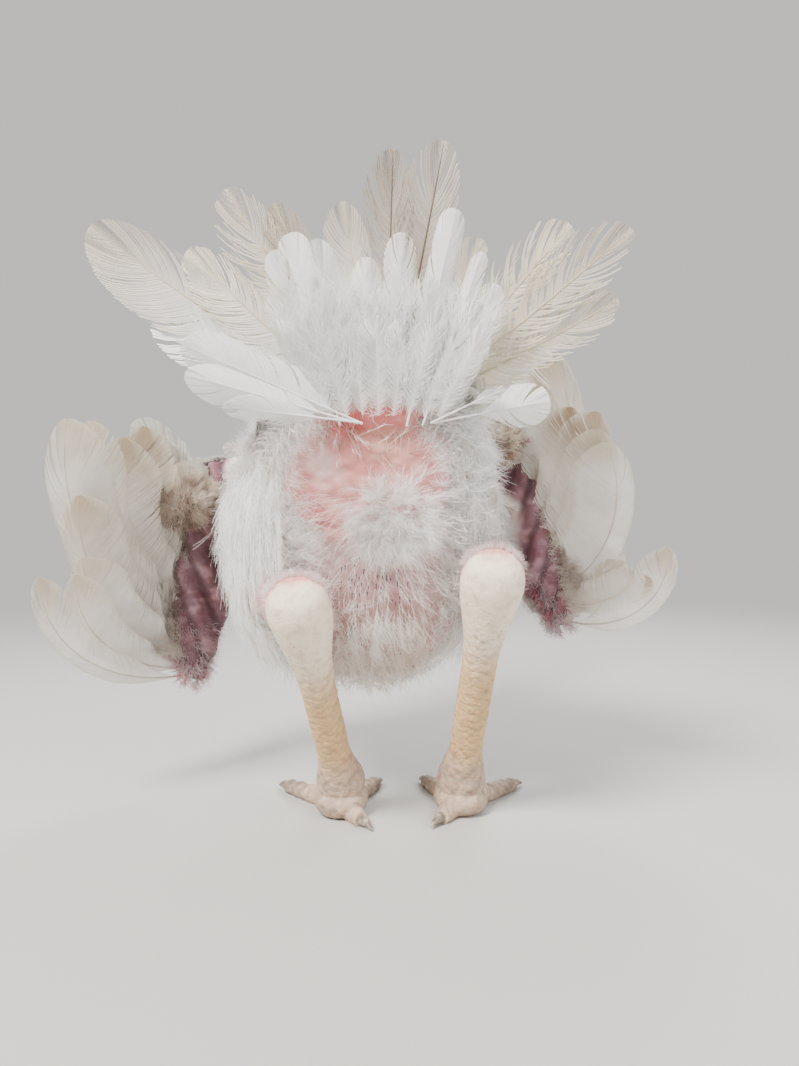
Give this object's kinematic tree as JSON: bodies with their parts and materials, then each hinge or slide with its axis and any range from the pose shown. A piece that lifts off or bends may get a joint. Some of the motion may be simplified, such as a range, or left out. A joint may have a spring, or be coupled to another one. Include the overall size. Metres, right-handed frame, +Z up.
{
  "type": "aseel chicken",
  "caption": "White game fowl standing low, tail fanned upright and both wings held half open, as a still life-size museum model.",
  "frame": {"origin": "floor level, under the middle of the whole bird's bounding box", "axes": "+Z up, +Y from the tail towards the beak, +X towards the bird's own right side"},
  "size_m": [0.3578, 0.403, 0.3811],
  "materials": {
    "body_feather": "soft white down and body feathers over pink skin",
    "flight_feather": "worn white and tan quill feathers, satin",
    "face_skin": "bare red skin, finely wrinkled",
    "wing_skin": "bare mauve skin",
    "leg_scale": "pale yellow scaled skin, matt",
    "claw_horn": "worn horn",
    "beak_horn": "yellow horn, satin",
    "eye": "wet pearl eye with a black pupil"
  },
  "bodies": {
    "root": {"beak_lower": "beak_horn", "beak_upper": "beak_horn", "claw_left_back": "claw_horn", "claw_left_inner": "claw_horn", "claw_left_middle": "claw_horn", "claw_left_outer": "claw_horn", "claw_right_back": "claw_horn", "claw_right_inner": "claw_horn", "claw_right_middle": "claw_horn", "claw_right_outer": "claw_horn", "comb": "face_skin", "eye_left": "eye", "eye_right": "eye", "foot_left": "leg_scale", "foot_right": "leg_scale", "head": "face_skin", "neck": "body_feather", "shank_left": "leg_scale", "shank_right": "leg_scale", "tail": "flight_feather", "thigh_left": "body_feather", "thigh_right": "body_feather", "torso": "body_feather", "wing_left_arm": "wing_skin", "wing_left_forearm": "flight_feather", "wing_left_hand": "flight_feather", "wing_right_arm": "wing_skin", "wing_right_forearm": "flight_feather", "wing_right_hand": "flight_feather"}
  },
  "joints": []
}
